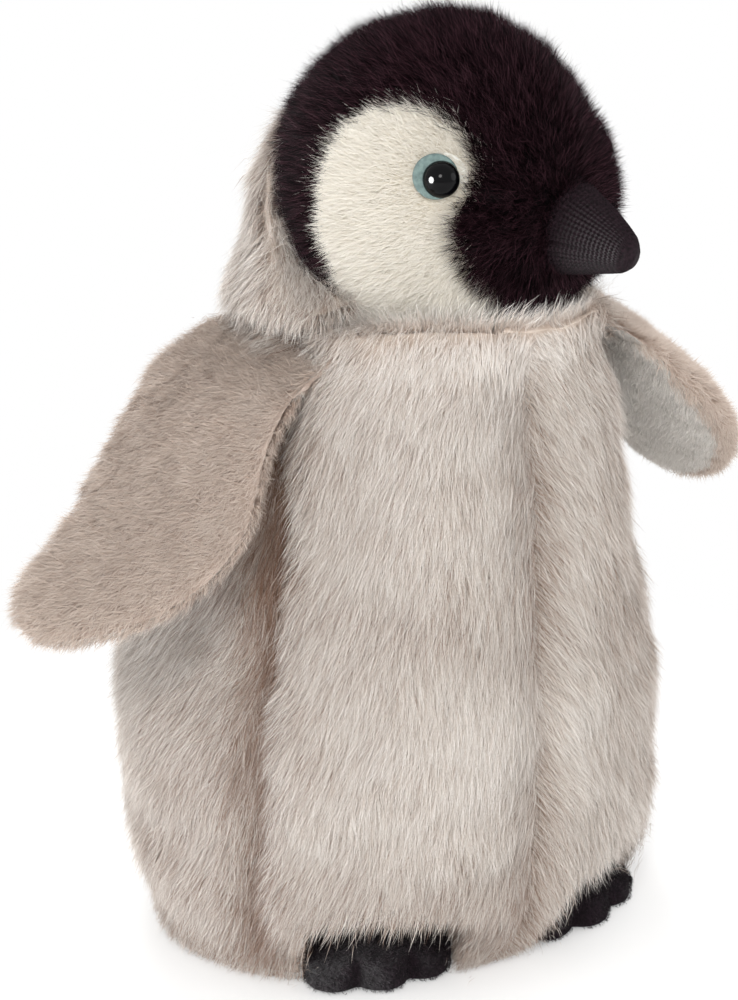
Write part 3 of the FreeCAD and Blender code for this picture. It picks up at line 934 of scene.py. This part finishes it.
# ---- floor, light and camera ---------------------------------------------------------
def floor_material():
    """White paper that fades into the white background away from the toy; near the toy it
    glows three tenths white for the camera, painted light that lightens its shadow.
    """
    material = speckled_material("floor_paper", srgb(252, 252, 252), srgb(254, 254, 254),
                                 4.0)
    tree = material.node_tree
    place = tree.nodes.new("ShaderNodeTexCoord")
    distance = tree.nodes.new("ShaderNodeVectorMath")
    distance.operation = "LENGTH"
    tree.links.new(place.outputs["Object"], distance.inputs[0])
    # Painted light: 0.3 of the glow reaches the paper close to the toy, and the full glow
    # far off.
    fade = tree.nodes.new("ShaderNodeMapRange")       # distances from the toy in metres
    fade.inputs["From Min"].default_value = 0.06
    fade.inputs["From Max"].default_value = 0.22
    fade.inputs["To Min"].default_value = 0.30
    tree.links.new(distance.outputs["Value"], fade.inputs["Value"])
    seen = tree.nodes.new("ShaderNodeLightPath")
    both = tree.nodes.new("ShaderNodeMath")
    both.operation = "MULTIPLY"
    tree.links.new(fade.outputs["Result"], both.inputs[0])
    tree.links.new(seen.outputs["Is Camera Ray"], both.inputs[1])
    white = tree.nodes.new("ShaderNodeEmission")
    mix = tree.nodes.new("ShaderNodeMixShader")
    tree.links.new(both.outputs["Value"], mix.inputs["Fac"])
    tree.links.new(tree.nodes["Principled BSDF"].outputs["BSDF"], mix.inputs[1])
    tree.links.new(white.outputs["Emission"], mix.inputs[2])
    tree.links.new(mix.outputs["Shader"], tree.nodes["Material Output"].inputs["Surface"])
    return material


floor = new_object("floor", [(-3, -3, -0.0003), (3, -3, -0.0003), (3, 3, -0.0003),
                             (-3, 3, -0.0003)], [(0, 1, 2, 3)], smooth=False)
floor.data.materials.append(floor_material())

world = bpy.data.worlds.new("studio")
bpy.context.scene.world = world
world.use_nodes = True
tree = world.node_tree
background = tree.nodes["Background"]
background.inputs["Color"].default_value = (1.0, 1.0, 1.0, 1.0)
background.inputs["Strength"].default_value = 0.95
seen = tree.nodes.new("ShaderNodeBackground")
seen.inputs["Color"].default_value = (1.0, 1.0, 1.0, 1.0)
seen.inputs["Strength"].default_value = 1.0
path = tree.nodes.new("ShaderNodeLightPath")
choose = tree.nodes.new("ShaderNodeMixShader")
tree.links.new(path.outputs["Is Camera Ray"], choose.inputs["Fac"])
tree.links.new(background.outputs["Background"], choose.inputs[1])
tree.links.new(seen.outputs["Background"], choose.inputs[2])
tree.links.new(choose.outputs["Shader"], tree.nodes["World Output"].inputs["Surface"])


def area_light(name, place, aim, size, power, colour=(1, 1, 1)):
    data = bpy.data.lights.new(name, "AREA")
    data.shape = "DISK"
    data.size = size
    data.energy = power
    data.color = colour
    obj = bpy.data.objects.new(name, data)
    bpy.context.scene.collection.objects.link(obj)
    obj.location = place
    obj.rotation_euler = (Vector(aim) - Vector(place)).to_track_quat("-Z", "Y").to_euler()
    return obj


aim = (0, 0, 0.12)
area_light("key", (-0.75, -0.95, 0.95), aim, 0.45, 8.5, (1.0, 0.985, 0.96))
core = area_light("key_core", (-0.74, -0.93, 0.93), aim, 0.12, 2.5, (1.0, 0.985, 0.96))
core.visible_glossy = False
area_light("fill", (0.9, -0.8, 0.5), aim, 0.8, 3.0, (0.97, 0.985, 1.0))
area_light("rim", (0.3, 0.9, 0.9), aim, 0.6, 5.0)
# Lights glossy things only: it is the highlight on the eye.
catch = area_light("catch", (-0.9, 0.04, 0.24), (0, 0, 0.2), 0.52, 90.0)
catch.visible_diffuse = False

camera = bpy.data.cameras.new("camera")
camera_object = bpy.data.objects.new("camera", camera)
bpy.context.scene.collection.objects.link(camera_object)
bpy.context.scene.camera = camera_object
azimuth, rise, distance = math.radians(-32.0), math.radians(19.2), 0.650
target = Vector((0.0, -0.008, 0.118))
back = Vector((math.sin(azimuth) * math.cos(rise), -math.cos(azimuth) * math.cos(rise),
               math.sin(rise)))
camera_object.location = target + back * distance
camera_object.rotation_mode = "QUATERNION"
camera_object.rotation_quaternion = (-back).to_track_quat("-Z", "Y")
camera.sensor_fit = "VERTICAL"
camera.sensor_height = 36.0
camera.lens = 94.3
camera.shift_x = -0.038
camera.shift_y = -0.029
camera.clip_start, camera.clip_end = 0.05, 20

bpy.context.scene.view_settings.view_transform = "Standard"
